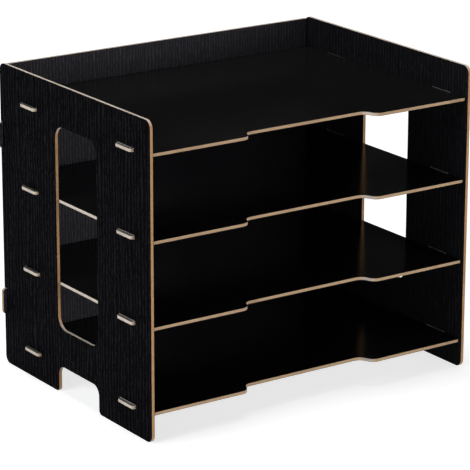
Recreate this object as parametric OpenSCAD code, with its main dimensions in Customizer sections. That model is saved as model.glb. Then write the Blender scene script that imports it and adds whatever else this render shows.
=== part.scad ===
// Letter tray stack: a rack of seven flat boards that plug together without screws.
// Two upright sides carry four trays, and a back panel closes the rear. Every board is
// cut from the same thin fibreboard, laminated black on both faces, with bare tan edges.
//
// +X is to the right, -Y is the open front and +Z is up. The origin is on the table,
// in the middle of the rack. All sizes are in millimetres.

/* [Rack] */
// Width over the outer faces of the two sides, without the tabs
body_w = 335; // [300:5:420]
// Depth of the sides, from front edge to rear edge
body_d = 245; // [235:5:330]
// Thickness of every board
board = 3; // [2:0.5:5]
// Thickness of the black laminate on each face of a board
film = 0.2; // [0.1:0.05:0.4]

/* [Heights] */
// Clear height under the bottom tray
leg_h = 23.5; // [15:0.5:60]
// Clear height between two trays
bay_h = 72; // [50:1:120]
// Height of the sides above the top tray
rim_h = 28.5; // [15:0.5:60]
// How far the top edge of the back panel stays below the sides
back_drop = 2; // [0:0.5:10]

/* [Side outline] */
// Radius of the four outer corners of a side
corner_r = 7; // [2:0.5:12]
// Distance from the front edge to the window and to the foot cut-out
window_front = 84; // [70:1:95]
// Length of the window and of the foot cut-out, front to rear
window_l = 67; // [40:1:72]
// Radius of the window corners
window_r = 12; // [4:1:18]
// Web between the top edge of a side and its window
window_web_top = 36.5; // [20:0.5:60]
// Web between the foot cut-out and the window
window_web_low = 34.5; // [20:0.5:60]
// Height of the foot cut-out, measured from under the bottom tray
foot_cut_rise = 1.5; // [0:0.5:8]
// Radius of the upper corners of the foot cut-out
foot_cut_r = 9; // [3:0.5:12]
// Radius of the corners where the feet meet the table
foot_r = 4; // [1:0.5:6]

/* [Tray tabs] */
// Length of a tray tab along the side
tab_l = 25; // [15:1:36]
// How far a tab stands out of the side
tab_out = 3; // [1:0.5:8]
// Radius of the outer corners of a tab
tab_r = 3; // [0.5:0.25:4]
// Distance from the front edge of a side to its front slots
tab_front = 25; // [14:1:30]
// Distance from the rear edge of a side to its rear slots
tab_rear = 38.5; // [20:0.5:45]
// Play over a tab in its slot
slot_play = 0.5; // [0.2:0.1:2]
// Play at each end of a tab in its slot
slot_end_play = 0.5; // [0.1:0.1:1.5]

/* [Tray outline] */
// How far the trays stay behind the front edges of the sides
tray_inset = 3; // [0:0.5:10]
// Gap between the trays and the back panel
tray_gap = 1.5; // [0.5:0.5:6]
// Radius of the front corners of a tray
tray_front_r = 2; // [0.5:0.5:4]
// Radius of the rear corners of a tray
tray_rear_r = 10; // [2:1:20]
// Width of the finger recess at the front edge of a tray
recess_w = 146; // [100:2:200]
// Depth of the finger recess
recess_depth = 13; // [6:1:24]
// Radius of the two bends at each end of the recess
recess_r = 8.5; // [3:0.5:12]
// Slope of the ends of the recess, from the front edge
recess_angle = 66; // [60:1:80]

/* [Back panel] */
// Height of a tab of the back panel
back_tab_h = 24; // [12:1:40]
// From the top edge of the back panel down to the middle of its upper tabs
back_tab_top = 64; // [40:1:90]
// From the bottom edge of the back panel up to the middle of its lower tabs
back_tab_low = 35; // [25:1:60]
// Play at the ends of the back panel and round its tabs
back_play = 0.3; // [0.1:0.1:1]

/* [Hidden] */
$fn = 48;
film_colour = "#19191c";
core_colour = "#b89468";
cut = 1; // how far a cutting shape reaches past the board

TRAYS = ["bottom_tray", "lower_tray", "upper_tray", "top_tray"];

tray_step = board + bay_h;
tray_z = [for (i = [0 : len(TRAYS) - 1]) leg_h + i * tray_step]; // undersides
top_surface = tray_z[len(TRAYS) - 1] + board;
body_h = top_surface + rim_h;

front_y = -body_d / 2;
rear_y = body_d / 2;
inner_x = body_w / 2 - board; // inner faces of the sides

// Both columns of slots: where each starts, from front to rear
tab_y = [front_y + tab_front, rear_y - tab_rear - tab_l];

window_y0 = front_y + window_front;
window_y1 = window_y0 + window_l;
foot_cut_h = leg_h + foot_cut_rise;
window_z0 = foot_cut_h + window_web_low;
window_z1 = body_h - window_web_top;

back_z0 = leg_h;
back_z1 = body_h - back_drop;
back_tab_z = [back_z0 + back_tab_low, back_z1 - back_tab_top]; // middles
back_y = rear_y - board; // front face of the back panel

tray_y0 = front_y + tray_inset;
tray_y1 = back_y - tray_gap;

// ---- outlines ------------------------------------------------------------------

// Rectangle from p to q with round corners of radius r
module round_rect(p, q, r) {
    translate([p[0] + r, p[1]]) square([q[0] - p[0] - 2 * r, q[1] - p[1]]);
    translate([p[0], p[1] + r]) square([q[0] - p[0], q[1] - p[1] - 2 * r]);
    for (x = [p[0] + r, q[0] - r], y = [p[1] + r, q[1] - r])
        translate([x, y]) circle(r);
}

// What rounding takes off a corner of radius r: the corner is at the origin and the
// board fills the quarter x < 0, y > 0
module corner_waste(r) {
    difference() {
        translate([-r, -cut]) square([r + cut, r + cut]);
        translate([-r, r]) circle(r);
    }
}

// Rectangle from p to q whose two corners at the far end in X are rounded; it runs
// back past p by `root`, so that it joins the board it stands on
module tab_outline(p, q, r, root) {
    translate([p[0] - root, p[1]]) square([q[0] - p[0] - r + root, q[1] - p[1]]);
    translate([p[0], p[1] + r]) square([q[0] - p[0], q[1] - p[1] - 2 * r]);
    for (y = [p[1] + r, q[1] - r]) translate([q[0] - r, y]) circle(r);
}

// A board of the given outline: bare core between two black films
module laminated() {
    color(film_colour) linear_extrude(film) children();
    color(core_colour) translate([0, 0, film]) linear_extrude(board - 2 * film) children();
    color(film_colour) translate([0, 0, board - film]) linear_extrude(film) children();
}

// ---- sides ---------------------------------------------------------------------

// Arch between the feet, with its upper corners and the feet's own corners rounded
module foot_cut_outline() {
    round_rect([window_y0, -foot_cut_h], [window_y1, foot_cut_h], foot_cut_r);
    translate([window_y0, 0]) corner_waste(foot_r);
    translate([window_y1, 0]) mirror([1, 0]) corner_waste(foot_r);
}

// Two slots for each tray: a tab lies on the lower edge of its slot
module slots_outline() {
    for (z = tray_z, y = tab_y)
        translate([y - slot_end_play, z])
            square([tab_l + 2 * slot_end_play, board + slot_play]);
}

// Open notches in the rear edge for the tabs of the back panel
module notches_outline() {
    for (z = back_tab_z)
        translate([back_y - back_play, z - back_tab_h / 2])
            square([board + back_play + cut, back_tab_h + back_play]);
}

// Outline of a side, seen along X: front edge at the left, rear edge at the right
module side_outline() {
    difference() {
        round_rect([front_y, 0], [rear_y, body_h], corner_r);
        round_rect([window_y0, window_z0], [window_y1, window_z1], window_r);
        foot_cut_outline();
        slots_outline();
        notches_outline();
    }
}

module side() {
    rotate([90, 0, 90]) laminated() side_outline();
}

module left_side() {
    translate([-body_w / 2, 0, 0]) side();
}

module right_side() {
    translate([inner_x, 0, 0]) side();
}

// ---- back panel ----------------------------------------------------------------

module back_outline() {
    panel_x = inner_x - back_play;
    translate([-panel_x, back_z0]) square([2 * panel_x, back_z1 - back_z0]);
    for (z = back_tab_z, m = [0, 1])
        mirror([m, 0])
            tab_outline(
                [panel_x, z - back_tab_h / 2],
                [body_w / 2 + tab_out, z + back_tab_h / 2],
                tab_r, board
            );
}

module back_panel() {
    translate([0, rear_y, 0]) rotate([90, 0, 0]) laminated() back_outline();
}

// ---- trays ---------------------------------------------------------------------

// Finger recess: each end is an S of two bends and a short straight slope. The mouth
// is on the X axis and the recess runs towards +Y.
module recess_outline() {
    s = sin(recess_angle);
    c = cos(recess_angle);
    bend_x = recess_r * s; // each bend's run along the front edge
    bend_y = recess_r * (1 - c); // and into the tray
    slope_y = recess_depth - 2 * bend_y;
    slope_x = slope_y * c / s;
    mouth_x = recess_w / 2;
    floor_x = mouth_x - 2 * bend_x - slope_x;
    half = [
        [mouth_x, -cut],
        [mouth_x, 0],
        [mouth_x - bend_x, bend_y],
        [mouth_x - bend_x - slope_x, bend_y + slope_y],
        [floor_x, recess_depth]
    ];
    difference() {
        union() {
            polygon(concat(half, [for (i = [len(half) - 1 : -1 : 0]) [-half[i][0], half[i][1]]]));
            for (m = [-1, 1]) translate([m * floor_x, recess_depth - recess_r]) circle(recess_r);
        }
        for (m = [-1, 1]) translate([m * mouth_x, recess_r]) circle(recess_r);
    }
}

module tray_outline() {
    difference() {
        translate([-inner_x, tray_y0]) square([2 * inner_x, tray_y1 - tray_y0]);
        for (m = [0, 1]) mirror([m, 0]) {
            translate([inner_x, tray_y0]) corner_waste(tray_front_r);
            translate([inner_x, tray_y1]) mirror([0, 1]) corner_waste(tray_rear_r);
        }
        translate([0, tray_y0]) recess_outline();
    }
    for (y = tab_y, m = [0, 1])
        mirror([m, 0])
            tab_outline([inner_x, y], [body_w / 2 + tab_out, y + tab_l], tab_r, board);
}

module tray(i) {
    translate([0, 0, tray_z[i]]) laminated() tray_outline();
}

// ---- assembly ------------------------------------------------------------------

left_side();
right_side();
back_panel();
for (i = [0 : len(TRAYS) - 1])
    tray(i);
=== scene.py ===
"""Looks of the letter tray stack: seven laminated boards that plug together.

Each board is a fine mesh that replaces its CAD node: the same outline with smoother
arcs, eased film edges and a bare core that stays a hair behind the film. The finishes
are an embossed wood-grain film, a satin film and bare fibreboard.
"""

import math

import bpy
from mathutils import Matrix, Vector
from mathutils.geometry import tessellate_polygon


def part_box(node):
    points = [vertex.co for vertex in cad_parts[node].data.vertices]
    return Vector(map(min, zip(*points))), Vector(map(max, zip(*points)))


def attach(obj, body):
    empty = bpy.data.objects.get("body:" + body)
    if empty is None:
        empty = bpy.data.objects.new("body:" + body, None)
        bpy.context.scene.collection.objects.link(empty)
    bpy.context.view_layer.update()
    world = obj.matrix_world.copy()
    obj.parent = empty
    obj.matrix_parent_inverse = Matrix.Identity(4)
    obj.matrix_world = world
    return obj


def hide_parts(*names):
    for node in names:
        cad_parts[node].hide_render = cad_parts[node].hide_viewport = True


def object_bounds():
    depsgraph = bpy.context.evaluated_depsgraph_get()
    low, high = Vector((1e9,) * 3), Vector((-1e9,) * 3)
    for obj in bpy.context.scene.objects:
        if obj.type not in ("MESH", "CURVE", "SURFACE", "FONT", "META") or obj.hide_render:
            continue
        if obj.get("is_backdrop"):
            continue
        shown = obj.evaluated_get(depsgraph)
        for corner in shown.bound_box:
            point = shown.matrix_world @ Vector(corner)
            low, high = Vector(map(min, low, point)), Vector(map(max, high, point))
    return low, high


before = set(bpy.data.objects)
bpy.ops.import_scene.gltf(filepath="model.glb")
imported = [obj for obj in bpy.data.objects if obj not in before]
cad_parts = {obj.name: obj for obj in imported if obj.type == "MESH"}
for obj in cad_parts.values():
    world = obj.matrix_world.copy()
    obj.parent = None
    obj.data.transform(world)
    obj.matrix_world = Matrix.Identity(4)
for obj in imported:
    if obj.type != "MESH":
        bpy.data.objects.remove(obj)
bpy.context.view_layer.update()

MM = 0.001

# ---- sizes, in millimetres ---------------------------------------------------------

# From the frame: everything that the boxes of the CAD nodes give
side_low, side_high = [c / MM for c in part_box("left_side")]
back_low, back_high = [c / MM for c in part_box("back_panel")]
TRAYS = ["bottom_tray", "lower_tray", "upper_tray", "top_tray"]
tray_boxes = {name: [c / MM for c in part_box(name)] for name in TRAYS}
tray_low, tray_high = tray_boxes["top_tray"]

BOARD = side_high.x - side_low.x
FRONT, REAR, TOP = side_low.y, side_high.y, side_high.z
LEG_H = tray_boxes["bottom_tray"][0].z
INNER_X = -side_high.x    # inner face of the right side
TAB_X = tray_high.x       # ends of the tabs

# Side board
CORNER_R = 7
FOOT_R = 4
ARCH_RISE = 1.5           # top of the foot arch over the underside of the bottom tray
ARCH_R = 9
WINDOW_FRONT = 84         # from the front edge to the window and to the arch
WINDOW_L = 67
WINDOW_R = 12
WEB_LOW = 34.5            # between the arch and the window
WEB_TOP = 36.5            # between the window and the top edge
SLOT_PLAY = 0.5           # over a tab
SLOT_END_PLAY = 0.5       # at each end of a tab

ARCH_TOP = LEG_H + ARCH_RISE
WINDOW_Y = (FRONT + WINDOW_FRONT, FRONT + WINDOW_FRONT + WINDOW_L)
WINDOW_Z = (ARCH_TOP + WEB_LOW, TOP - WEB_TOP)

# Tabs
TAB_L = 25
TAB_R = 3
TAB_FRONT = 25            # from the front edge of a side to its front tabs
TAB_REAR = 38.5           # from the rear edge of a side to its rear tabs
BACK_TAB_H = 24
BACK_TAB_LOW = 35         # from the lower edge of the back panel to its lower tabs' middle
BACK_TAB_TOP = 64         # from its top edge to its upper tabs' middle
BACK_PLAY = 0.3           # at the ends of the back panel and round its tabs

tab_starts = (FRONT + TAB_FRONT, REAR - TAB_REAR - TAB_L)
TRAY_TABS = [(y, y + TAB_L) for y in tab_starts]
back_tab_middles = (back_low.z + BACK_TAB_LOW, back_high.z - BACK_TAB_TOP)
BACK_TABS = [(z - BACK_TAB_H / 2, z + BACK_TAB_H / 2) for z in back_tab_middles]

# Tray
TRAY_FRONT_R = 2
TRAY_REAR_R = 10
RECESS_W = 146
RECESS_DEPTH = 13
RECESS_R = 8.5
RECESS_ANGLE = math.radians(66)    # slope of the recess's ends, from the front edge

# Section of a board's edge
FILM = 0.2                # thickness of the film on each face
EASE = 0.09               # the film's broken edge
CORE_SET = 0.03           # the bare core stays this far behind the film
WEAR_BAND = 0.7           # how far in from an edge the film can be rubbed

ARC_STEP = math.radians(6)         # turn between two points of an arc
SHARP_ANGLE = math.radians(25)     # edges that turn more than this are shaded sharp


# ---- outlines ----------------------------------------------------------------------

def outline(corners):
    """Closed polyline through corners (x, y, radius), each rounded to its radius."""
    points = []
    for i, (x, y, r) in enumerate(corners):
        corner = Vector((x, y))
        if not r:
            points.append(corner)
            continue
        before = (Vector(corners[i - 1][:2]) - corner).normalized()
        after = (Vector(corners[(i + 1) % len(corners)][:2]) - corner).normalized()
        turn = math.pi - before.angle(after)
        centre = corner + (before + after).normalized() * r / math.cos(turn / 2)
        start = corner + before * r * math.tan(turn / 2) - centre
        way = 1 if before.cross(after) < 0 else -1
        steps = max(2, round(turn / ARC_STEP))
        for k in range(steps + 1):
            spin = Matrix.Rotation(way * turn * k / steps, 2)
            points.append(centre + spin @ start)
    return points


def rectangle(x, y, r=0):
    """Outline of a rectangle, given by its spans in x and y."""
    return outline([(x[0], y[0], r), (x[1], y[0], r), (x[1], y[1], r), (x[0], y[1], r)])


def hole(loop):
    """A hole runs the other way round, so that the board is always on its left."""
    return loop[::-1]


def tab(root_x, span):
    """Corners of a tab that stands out of root_x towards +X, from its low end up."""
    low, high = span
    return [(root_x, low, 0), (TAB_X, low, TAB_R), (TAB_X, high, TAB_R), (root_x, high, 0)]


def mirrored(right_half):
    """Closed outline from its right half, given from the bottom up."""
    return right_half + [(-x, y, r) for x, y, r in right_half[::-1]]


def side_loops():
    """Outline of a side with its feet and notches, then its window and its slots."""
    y0, y1 = WINDOW_Y
    notch_y = REAR - BOARD - BACK_PLAY
    corners = [
        (FRONT, 0, CORNER_R),
        (y0, 0, FOOT_R), (y0, ARCH_TOP, ARCH_R), (y1, ARCH_TOP, ARCH_R), (y1, 0, FOOT_R),
        (REAR, 0, CORNER_R),
    ]
    for low, high in BACK_TABS:
        top = high + BACK_PLAY
        corners += [(REAR, low, 0), (notch_y, low, 0), (notch_y, top, 0), (REAR, top, 0)]
    corners += [(REAR, TOP, CORNER_R), (FRONT, TOP, CORNER_R)]
    loops = [outline(corners), hole(rectangle(WINDOW_Y, WINDOW_Z, WINDOW_R))]
    for low, high in tray_boxes.values():
        for start, end in TRAY_TABS:
            ends = (start - SLOT_END_PLAY, end + SLOT_END_PLAY)
            loops.append(hole(rectangle(ends, (low.z, high.z + SLOT_PLAY))))
    return loops


def back_loops():
    """Outline of the back panel with its tabs."""
    edge_x = INNER_X - BACK_PLAY
    half = [(edge_x, back_low.z, 0)]
    for span in BACK_TABS:
        half += tab(edge_x, span)
    half += [(edge_x, back_high.z, 0)]
    return [outline(mirrored(half))]


def tray_loops():
    """Outline of a tray with its finger recess and its tabs."""
    front, rear = tray_low.y, tray_high.y
    tangent = RECESS_R * math.tan(RECESS_ANGLE / 2)
    mouth_x = RECESS_W / 2 - tangent
    floor_x = mouth_x - RECESS_DEPTH / math.tan(RECESS_ANGLE)
    half = [
        (floor_x, front + RECESS_DEPTH, RECESS_R), (mouth_x, front, RECESS_R),
        (INNER_X, front, TRAY_FRONT_R),
    ]
    for span in TRAY_TABS:
        half += tab(INNER_X, span)
    half += [(INNER_X, rear, TRAY_REAR_R)]
    return [outline(mirrored(half))]


# ---- boards ------------------------------------------------------------------------

# Rings of the edge from the near face to the middle: inset, depth, wear, and the
# material of the stretch that follows the ring
NEAR_FILM, CORE_FACE, FAR_FILM = 0, 1, 2
HALF_SECTION = [
    (WEAR_BAND, 0, 0, NEAR_FILM),
    (EASE, 0, 1, NEAR_FILM),
    (0, EASE, 1, NEAR_FILM),
    (0, FILM, 1, CORE_FACE),
    (CORE_SET, FILM, 0, CORE_FACE),
]


def section():
    """The whole edge section: half of it, the core's middle, and the half mirrored."""
    far_half = []
    for k in range(len(HALF_SECTION) - 1, -1, -1):
        inset, depth, wear, _ = HALF_SECTION[k]
        # Mirrored, the stretch that came before a ring follows it
        face = FAR_FILM if HALF_SECTION[k - 1][3] == NEAR_FILM else CORE_FACE
        far_half.append((inset, BOARD - depth, wear, face))
    return HALF_SECTION + [(CORE_SET, BOARD / 2, 0, CORE_FACE)] + far_half


def inward(loop):
    """Mitred inward normal at each point of a loop."""
    normals = []
    for i, point in enumerate(loop):
        before = (point - loop[i - 1]).normalized()
        after = (loop[(i + 1) % len(loop)] - point).normalized()
        left_before = Vector((-before.y, before.x))
        left_after = Vector((-after.y, after.x))
        mitre = left_before + left_after
        normals.append(mitre / (1 + left_before.dot(left_after)))
    return normals


def cap(points, rims, outward):
    """Triangles that fill a face of a board, between its outline and its holes."""
    order = [index for rim in rims for index in rim]
    triangles = []
    for corners in tessellate_polygon([[points[i] for i in rim] for rim in rims]):
        a, b, c = (order[t] for t in corners)
        normal = (points[b] - points[a]).cross(points[c] - points[a])
        triangles.append((a, b, c) if normal.dot(outward) > 0 else (a, c, b))
    return triangles


def board(name, loops, place, materials):
    """The piece for one board. place(u, v, w) puts a point of its outline at depth w.

    The materials are those of the near film, the core and the far film.
    """
    rings = section()
    last = len(rings) - 1
    points, faces, face_materials = [], [], []
    values = {"wear": [], "depth": [], "inside": []}
    rims = {0: [], last: []}
    for loop in loops:
        normals = inward(loop)
        count = len(loop)
        first = len(points)
        for k, (inset, w, wear, _) in enumerate(rings):
            for point, normal in zip(loop, normals):
                u, v = point + normal * inset
                points.append(place(u, v, w) * MM)
            values["wear"] += [wear] * count
            values["depth"] += [w / BOARD] * count
            values["inside"] += [float(loop is not loops[0])] * count
            if k in rims:
                rims[k].append([first + k * count + i for i in range(count)])
        for k in range(last):
            low, high = first + k * count, first + (k + 1) * count
            for i in range(count):
                j = (i + 1) % count
                faces.append((low + i, low + j, high + j, high + i))
                face_materials.append(rings[k][3])
    to_far = (place(0, 0, 1) - place(0, 0, 0)).normalized()
    for k, outward, film in ((0, -to_far, NEAR_FILM), (last, to_far, FAR_FILM)):
        triangles = cap(points, rims[k], outward)
        faces += triangles
        face_materials += [film] * len(triangles)

    mesh = bpy.data.meshes.new(name)
    mesh.from_pydata(points, [], faces)
    for key, numbers in values.items():
        mesh.attributes.new(key, "FLOAT", "POINT").data.foreach_set("value", numbers)
    for material in materials:
        mesh.materials.append(material)
    mesh.polygons.foreach_set("material_index", face_materials)
    mesh.shade_smooth()
    mesh.set_sharp_from_angle(angle=SHARP_ANGLE)
    mesh.validate()
    piece = bpy.data.objects.new(name, mesh)
    bpy.context.scene.collection.objects.link(piece)
    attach(piece, "root")
    return piece


# ---- shader nodes ------------------------------------------------------------------

def add(tree, kind, inputs=None, **settings):
    """A shader node. An input is a value, or the socket that it is linked to."""
    made = tree.nodes.new("ShaderNode" + kind)
    for key, value in settings.items():
        setattr(made, key, value)
    for key, value in (inputs or {}).items():
        if isinstance(value, bpy.types.NodeSocket):
            tree.links.new(value, made.inputs[key])
        else:
            made.inputs[key].default_value = value
    return made


def new_material(name):
    material = bpy.data.materials.new(name)
    material.use_nodes = True
    tree = material.node_tree
    tree.nodes.clear()
    return material, tree


def place_of(tree):
    """Position on the object, in metres."""
    return add(tree, "TexCoord").outputs["Object"]


def attribute(tree, name):
    """Value that the mesh carries at its points, such as wear."""
    return add(tree, "Attribute", attribute_name=name).outputs["Fac"]


def noise(tree, vector, scale, detail=2.0, roughness=0.5):
    """Noise whose `scale` is in features per metre along X, Y and Z."""
    scaled = add(tree, "Mapping", {"Vector": vector, "Scale": scale})
    made = add(tree, "TexNoise", {
        "Vector": scaled.outputs["Vector"], "Scale": 1.0,
        "Detail": detail, "Roughness": roughness,
    })
    return made.outputs["Fac"]


def remap(tree, value, old, new, smooth=False):
    made = add(tree, "MapRange", {
        "Value": value, "From Min": old[0], "From Max": old[1],
        "To Min": new[0], "To Max": new[1],
    }, interpolation_type="SMOOTHSTEP" if smooth else "LINEAR")
    return made.outputs["Result"]


def math_of(tree, operation, a, b=0.0):
    return add(tree, "Math", {0: a, 1: b}, operation=operation).outputs["Value"]


def mix_colour(tree, factor, a, b):
    made = add(tree, "Mix", {0: factor, 6: a, 7: b}, data_type="RGBA")
    return made.outputs[2]


def srgb(r, g, b):
    """Linear colour of an 8-bit sRGB one."""
    def linear(c):
        c /= 255
        return c / 12.92 if c <= 0.04045 else ((c + 0.055) / 1.055) ** 2.4
    return (linear(r), linear(g), linear(b), 1.0)


def finish_material(tree, sockets):
    shader = add(tree, "BsdfPrincipled", sockets)
    add(tree, "OutputMaterial", {"Surface": shader.outputs["BSDF"]})


# ---- materials ---------------------------------------------------------------------

CHIP_TONE = srgb(96, 82, 70)        # where the film's edge is chipped or rubbed
SLOT_LIGHT_TONE = srgb(210, 205, 198)   # pale tone painted on the tab film inside its slot: painted light that comes in through the slot's gap
TAB_SHEEN_SCUFF_TONE = srgb(100, 94, 88)      # grey tone painted on the tab film where it stands out of its slot: a painted sheen, with scuffs
SATIN_DARK = srgb(15, 15, 15)
SATIN_LIGHT = srgb(20, 20, 20)
PAINTED_SHEEN_TONE = srgb(204, 194, 182)    # pale tone painted on edges that face up or sideways: a painted sheen
HOLE_SHADE_PAINT = srgb(66, 48, 34)        # shade painted on the edges of windows and slots
HOLE_SHADE_SHARE = 0.15                    # how much of that painted shade they take

REAR_SLOT_LIGHT = 0.1            # the rear tabs take this share of the front tabs' painted slot light
REAR_FROM = (0, 0.02)     # Y in metres over which that share sets in
TAB_PAINT_EDGE = 0.6            # width in mm over which a painted zone on a tab sets in

# Scale of each noise, in features per metre along X, Y and Z
CHIPS = (700, 700, 700)
CHIP_RUNS = (28, 28, 28)
GRAIN_DRIFT = (70, 70, 8)
GRAIN_CLOUD = (14, 14, 8)
SATIN_SKIN = (1300, 1300, 1300)
SATIN_CLOUD = (7, 9, 7)
SATIN_MARKS = (240, 12, 60)
TAB_SCRATCHES = (260, 1500, 900)
CORE_FIBRES = (900, 900, 900)
CORE_SPECKS = (2600, 2600, 2600)
CORE_PATCHES = (45, 45, 45)

NOISE_SPAN = (0.3, 0.7)   # nearly all values of a noise lie between these
GRAIN_WANDER = (0, 2.6)   # how far the ridges wander slowly, in distances between ridges
GRAIN_SHIVER = (0, 0.6)   # and how far they shiver from fleck to fleck

# Height of each relief, in metres
GRAIN_RELIEF = 0.0004
SKIN_RELIEF = 0.00004
SAWN_RELIEF = 0.00015


def rubbed(tree, position):
    """Mask of the small chips and rubs along the film's edges."""
    spots = noise(tree, position, CHIPS, detail=3.0, roughness=0.7)
    runs = noise(tree, position, CHIP_RUNS, detail=1.0)
    spots = remap(tree, math_of(tree, "ADD", spots, runs), (1.12, 1.32), (0, 1), smooth=True)
    edge = math_of(tree, "POWER", attribute(tree, "wear"), 2.0)
    return math_of(tree, "MULTIPLY", edge, spots)


def grain_film(name, dark, light, pitch, streak, specular):
    """Black film embossed with upright wood grain.

    `pitch` is the distance between ridges and `streak` the length of a fleck, in metres.
    """
    material, tree = new_material(name)
    position = place_of(tree)
    waves, flecks = 1 / pitch, 1 / streak
    across = add(tree, "VectorMath", {0: position, 1: (waves, waves, 0)}, operation="DOT_PRODUCT")
    drift = noise(tree, position, GRAIN_DRIFT, roughness=0.55)
    shiver = noise(tree, position, (waves, waves, flecks), roughness=0.6)
    phase = math_of(tree, "ADD", across.outputs["Value"], remap(tree, drift, (0, 1), GRAIN_WANDER))
    phase = math_of(tree, "ADD", phase, remap(tree, shiver, (0, 1), GRAIN_SHIVER))
    ridges = math_of(tree, "PINGPONG", phase, 0.5)
    pores = noise(tree, position, (3 * waves, 3 * waves, 3 * flecks), roughness=0.6)
    breaks = noise(tree, position, (2 * waves, 2 * waves, flecks))
    cloud = noise(tree, position, GRAIN_CLOUD)
    lit = remap(tree, ridges, (0.2, 0.46), (0, 1), smooth=True)
    lit = math_of(tree, "MULTIPLY", lit, remap(tree, breaks, (0.38, 0.6), (0.2, 1.0)))
    lit = math_of(tree, "ADD", lit, remap(tree, pores, NOISE_SPAN, (-0.25, 0.25)))
    lit = math_of(tree, "MULTIPLY", lit, remap(tree, cloud, NOISE_SPAN, (0.8, 1.15)))
    colour = mix_colour(tree, lit, dark, light)
    colour = mix_colour(tree, rubbed(tree, position), colour, CHIP_TONE)
    height = math_of(tree, "ADD", ridges, math_of(tree, "MULTIPLY", pores, 0.5))
    bump = add(tree, "Bump", {"Height": height, "Strength": 1.0, "Distance": GRAIN_RELIEF})
    finish_material(tree, {
        "Base Color": colour,
        "Roughness": remap(tree, pores, NOISE_SPAN, (0.62, 0.48)),
        "Specular IOR Level": specular,
        "Normal": bump.outputs["Normal"],
    })
    return material


def tab_light_and_scuffs(tree, position, colour):
    """The trays' colour, with painted light in the slots and a painted sheen with scuffs on the
    tabs.
    """
    axes = add(tree, "SeparateXYZ", {"Vector": position}).outputs
    x = math_of(tree, "ABSOLUTE", axes["X"])
    scratches = noise(tree, position, TAB_SCRATCHES, roughness=0.6)
    scratches = remap(tree, scratches, (0.3, 0.6), (0.5, 1))
    at_front = remap(tree, axes["Y"], REAR_FROM, (1, REAR_SLOT_LIGHT))
    in_slot = math_of(tree, "MULTIPLY", scratches, at_front)
    past_slot = math_of(tree, "POWER", scratches, 0.3)
    for start, tone, share in (
        (INNER_X, SLOT_LIGHT_TONE, in_slot),
        (INNER_X + BOARD, TAB_SHEEN_SCUFF_TONE, past_slot),
    ):
        zone = remap(tree, x, (start * MM, (start + TAB_PAINT_EDGE) * MM), (0, 1), smooth=True)
        colour = mix_colour(tree, math_of(tree, "MULTIPLY", zone, share), colour, tone)
    return colour


def satin_film(name):
    """Black film of the trays: smooth and satin, with painted light, sheen and scuffs on the tabs.
    """
    material, tree = new_material(name)
    position = place_of(tree)
    skin = noise(tree, position, SATIN_SKIN)
    cloud = noise(tree, position, SATIN_CLOUD, detail=3.0, roughness=0.6)
    marks = noise(tree, position, SATIN_MARKS, detail=3.0, roughness=0.6)
    marks = remap(tree, marks, (0.62, 0.74), (0, 1), smooth=True)
    tone = remap(tree, cloud, NOISE_SPAN, (0.1, 0.75))
    tone = math_of(tree, "ADD", tone, math_of(tree, "MULTIPLY", marks, 0.25))
    colour = mix_colour(tree, tone, SATIN_DARK, SATIN_LIGHT)
    colour = mix_colour(tree, rubbed(tree, position), colour, CHIP_TONE)
    bump = add(tree, "Bump", {"Height": skin, "Strength": 0.5, "Distance": SKIN_RELIEF})
    finish_material(tree, {
        "Base Color": tab_light_and_scuffs(tree, position, colour),
        "Roughness": remap(tree, cloud, NOISE_SPAN, (0.14, 0.19)),
        "Specular IOR Level": 0.3,
        "Normal": bump.outputs["Normal"],
    })
    return material


def bare_core(name, tone, pale, dark, painted_sheen_axis):
    """Sawn fibreboard edge: pressed darker next to the film, with fibres and specks.

    Edges that face along the given axis are painted paler: a painted sheen of the light that falls
    on them.
    """
    material, tree = new_material(name)
    position = place_of(tree)
    off_middle = math_of(tree, "SUBTRACT", attribute(tree, "depth"), 0.5)
    off_middle = math_of(tree, "ABSOLUTE", off_middle)
    pressed = remap(tree, off_middle, (0.3, 0.47), (0, 0.45), smooth=True)
    fibres = noise(tree, position, CORE_FIBRES, detail=4.0, roughness=0.7)
    specks = noise(tree, position, CORE_SPECKS, roughness=0.6)
    patches = noise(tree, position, CORE_PATCHES)
    facing = add(tree, "SeparateXYZ", {"Vector": add(tree, "NewGeometry").outputs["Normal"]})
    facing = math_of(tree, "ABSOLUTE", facing.outputs[painted_sheen_axis])
    colour = mix_colour(tree, remap(tree, fibres, (0.35, 0.65), (0, 1)), tone, pale)
    # Painted sheen: edges that face along the given axis turn paler
    colour = mix_colour(tree, remap(tree, facing, (0.3, 0.9), (0, 0.85)), colour, PAINTED_SHEEN_TONE)
    colour = mix_colour(tree, pressed, colour, dark)
    colour = mix_colour(tree, remap(tree, patches, (0.5, 0.75), (0, 0.35)), colour, dark)
    colour = mix_colour(tree, remap(tree, specks, (0.62, 0.74), (0, 0.55)), colour, dark)
    # Painted shade on the edges of windows and slots
    hole_shade = math_of(tree, "MULTIPLY", attribute(tree, "inside"), HOLE_SHADE_SHARE)
    colour = mix_colour(tree, hole_shade, colour, HOLE_SHADE_PAINT)
    height = math_of(tree, "ADD", fibres, math_of(tree, "MULTIPLY", specks, 0.5))
    bump = add(tree, "Bump", {"Height": height, "Strength": 0.7, "Distance": SAWN_RELIEF})
    finish_material(tree, {
        "Base Color": colour,
        "Roughness": remap(tree, fibres, NOISE_SPAN, (0.7, 0.85)),
        "Specular IOR Level": 0.3,
        "Sheen Weight": 0.3,
        "Sheen Roughness": 0.4,
        "Normal": bump.outputs["Normal"],
    })
    return material


side_film = grain_film(
    "side_film", dark=srgb(4, 4, 5), light=srgb(26, 26, 30),
    pitch=0.0047, streak=0.007, specular=0.004,
)
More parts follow.
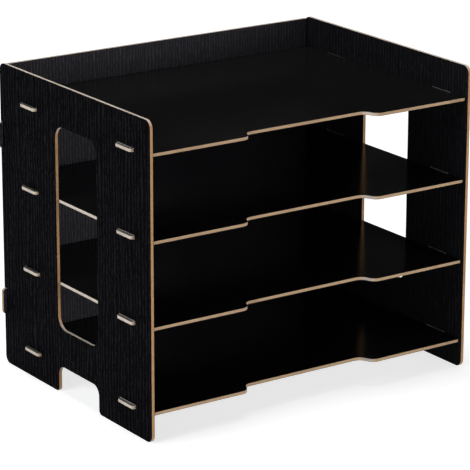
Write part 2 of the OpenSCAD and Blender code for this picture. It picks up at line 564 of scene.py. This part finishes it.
# The same film as side_film, painted lighter for the sides' inner faces: painted light
inner_film_painted_lighter = grain_film(
    "inner_film_painted_lighter", dark=srgb(17, 17, 18), light=srgb(32, 32, 35),
    pitch=0.0040, streak=0.007, specular=0.004,
)
# The same film again, painted much lighter for the back panel's front face: painted light from the
# front
back_film_painted_lighter = grain_film(
    "back_film_painted_lighter", dark=srgb(44, 43, 47), light=srgb(71, 69, 77),
    pitch=0.0032, streak=0.005, specular=0.02,
)
tray_film = satin_film("tray_film")
side_core = bare_core(
    "side_core", tone=srgb(170, 127, 85), pale=srgb(190, 150, 106), dark=srgb(122, 84, 52),
    painted_sheen_axis="Z",
)
tray_core = bare_core(
    "tray_core", tone=srgb(172, 140, 108), pale=srgb(194, 166, 134), dark=srgb(134, 102, 72),
    painted_sheen_axis="X",
)

# ---- pieces ------------------------------------------------------------------------

SIDES = (
    ("left_side", side_low.x, [side_film, side_core, inner_film_painted_lighter]),
    ("right_side", INNER_X, [inner_film_painted_lighter, side_core, side_film]),
)
for node, x, materials in SIDES:
    piece = board(
        node + "_board", side_loops(), lambda u, v, w, x=x: Vector((x + w, u, v)),
        materials,
    )
    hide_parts(node)

# The near face of the back panel is its rear face
piece = board(
    "back_panel_board", back_loops(), lambda u, v, w: Vector((u, REAR - w, v)),
    [side_film, side_core, back_film_painted_lighter],
)
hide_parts("back_panel")

for node, (low, high) in tray_boxes.items():
    piece = board(
        node + "_board", tray_loops(), lambda u, v, w, z=low.z: Vector((u, v, z + w)),
        [tray_film, tray_core, tray_film],
    )
    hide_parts(node)

# ---- floor and backdrop ------------------------------------------------------------

WHITE = (1.0, 1.0, 1.0, 1.0)

# Diffuse rays meet a floor of FLOOR_COLOUR. What camera, glossy and transmission rays
# see is FLOOR_SHARE of that, which carries the shadow, and a glow that makes it white.
FLOOR_SIZE = 60.0          # metres
FLOOR_COLOUR = 0.85
FLOOR_SHARE = 0.6
FLOOR_GLOW = 0.74
FLOOR_FADE = (0.6, 2.5)    # the glow rises to 1 between these distances, in metres

floor_mesh = bpy.data.meshes.new("floor")
reach = FLOOR_SIZE / 2
floor_mesh.from_pydata(
    [(-reach, -reach, 0), (reach, -reach, 0), (reach, reach, 0), (-reach, reach, 0)],
    [], [(0, 1, 2, 3)],
)
floor = bpy.data.objects.new("floor", floor_mesh)
bpy.context.scene.collection.objects.link(floor)
floor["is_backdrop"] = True

floor_material, tree = new_material("floor")
path = add(tree, "LightPath")
seen = math_of(tree, "MAXIMUM", path.outputs["Is Camera Ray"], path.outputs["Is Glossy Ray"])
seen = math_of(tree, "MAXIMUM", seen, path.outputs["Is Transmission Ray"])
shade = remap(tree, seen, (0, 1), (FLOOR_COLOUR, FLOOR_COLOUR * FLOOR_SHARE))
diffuse = add(tree, "BsdfDiffuse", {"Color": shade})
away = add(tree, "VectorMath", {0: place_of(tree)}, operation="LENGTH").outputs["Value"]
level = remap(tree, away, FLOOR_FADE, (FLOOR_GLOW, 1.0), smooth=True)
glow = add(tree, "Emission", {
    "Color": WHITE, "Strength": math_of(tree, "MULTIPLY", seen, level),
})
both = add(tree, "AddShader", {0: diffuse.outputs["BSDF"], 1: glow.outputs["Emission"]})
add(tree, "OutputMaterial", {"Surface": both.outputs["Shader"]})
floor_mesh.materials.append(floor_material)

# The backdrop is white at the horizon and dim higher up
SKY_WHITE_BELOW = math.sin(math.radians(4))
SKY_DIM_ABOVE = math.sin(math.radians(9))
SKY_DIM = 0.004

world = bpy.data.worlds.new("world")
bpy.context.scene.world = world
world.use_nodes = True
tree = world.node_tree
tree.nodes.clear()
direction = add(tree, "TexCoord").outputs["Generated"]
height = add(tree, "SeparateXYZ", {"Vector": direction}).outputs["Z"]
level = remap(tree, height, (SKY_WHITE_BELOW, SKY_DIM_ABOVE), (1.0, SKY_DIM), smooth=True)
backdrop = add(tree, "Background", {"Color": WHITE, "Strength": level})
add(tree, "OutputWorld", {"Surface": backdrop.outputs["Background"]})

# ---- lamps -------------------------------------------------------------------------

def softbox(name, azimuth, elevation, distance, size, power, colour=(1, 1, 1)):
    """Area lamp that looks at the middle of the rack.

    Angles are in degrees, with azimuth 0 at the front and 90 at the right side.
    Distance and size are in metres and power is in watts.
    """
    lamp = bpy.data.lights.new(name, "AREA")
    lamp.shape = "RECTANGLE"
    lamp.size, lamp.size_y = size
    lamp.energy = power
    lamp.color = colour
    made = bpy.data.objects.new(name, lamp)
    a, e = math.radians(azimuth), math.radians(elevation)
    away = Vector((math.sin(a) * math.cos(e), -math.cos(a) * math.cos(e), math.sin(e)))
    made.location = Vector((0, 0, TOP * MM / 2)) + away * distance
    made.rotation_mode = "QUATERNION"
    made.rotation_quaternion = (-away).to_track_quat("-Z", "Y")
    bpy.context.scene.collection.objects.link(made)
    return made


top_softbox = softbox(
    "top_softbox", azimuth=180, elevation=86, distance=2.4, size=(0.8, 0.8), power=38,
)
top_softbox.visible_glossy = False    # keeps its glare off the trays, seen from above
softbox(
    "left_softbox", azimuth=-92, elevation=28, distance=2.4, size=(1.4, 1.0), power=27,
    colour=(0.95, 0.98, 1.0),
)
softbox(
    "front_softbox", azimuth=20, elevation=3, distance=2.6, size=(2.0, 0.4), power=27,
    colour=(1.0, 0.98, 0.95),
)
softbox(
    "fill_softbox", azimuth=-62, elevation=5, distance=2.8, size=(1.8, 0.5), power=16,
    colour=(0.9, 0.94, 1.0),
)

# ---- camera ------------------------------------------------------------------------

# Place in metres and turn of the camera that fits the rack's edges in the photo
CAMERA_PLACE = Vector((-1.2943, -1.8844, 0.8382))
CAMERA_YAW = math.radians(34.495)
CAMERA_PITCH = math.radians(16.374)
CAMERA_ROLL = math.radians(-0.122)
FOCAL_PX = 2674.9
FRAME_PX = 470
AXIS_ROW_PX = 188     # row of the frame that the camera's axis meets
SENSOR_MM = 36
SIGHT = 100           # how far the camera sees, in metres

lens = bpy.data.cameras.new("camera")
lens.sensor_width = SENSOR_MM
lens.lens = FOCAL_PX / FRAME_PX * SENSOR_MM
lens.shift_y = (AXIS_ROW_PX - FRAME_PX / 2) / FRAME_PX
lens.clip_end = SIGHT
camera = bpy.data.objects.new("camera", lens)
camera.location = CAMERA_PLACE
ahead = Vector((
    math.sin(CAMERA_YAW) * math.cos(CAMERA_PITCH),
    math.cos(CAMERA_YAW) * math.cos(CAMERA_PITCH),
    -math.sin(CAMERA_PITCH),
))
camera.rotation_mode = "QUATERNION"
camera.rotation_quaternion = (
    ahead.to_track_quat("-Z", "Y") @ Matrix.Rotation(-CAMERA_ROLL, 3, "Z").to_quaternion()
)
bpy.context.scene.collection.objects.link(camera)
bpy.context.scene.camera = camera
bpy.context.scene.view_settings.view_transform = "Standard"

# ---- size of the visual model ------------------------------------------------------

low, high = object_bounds()
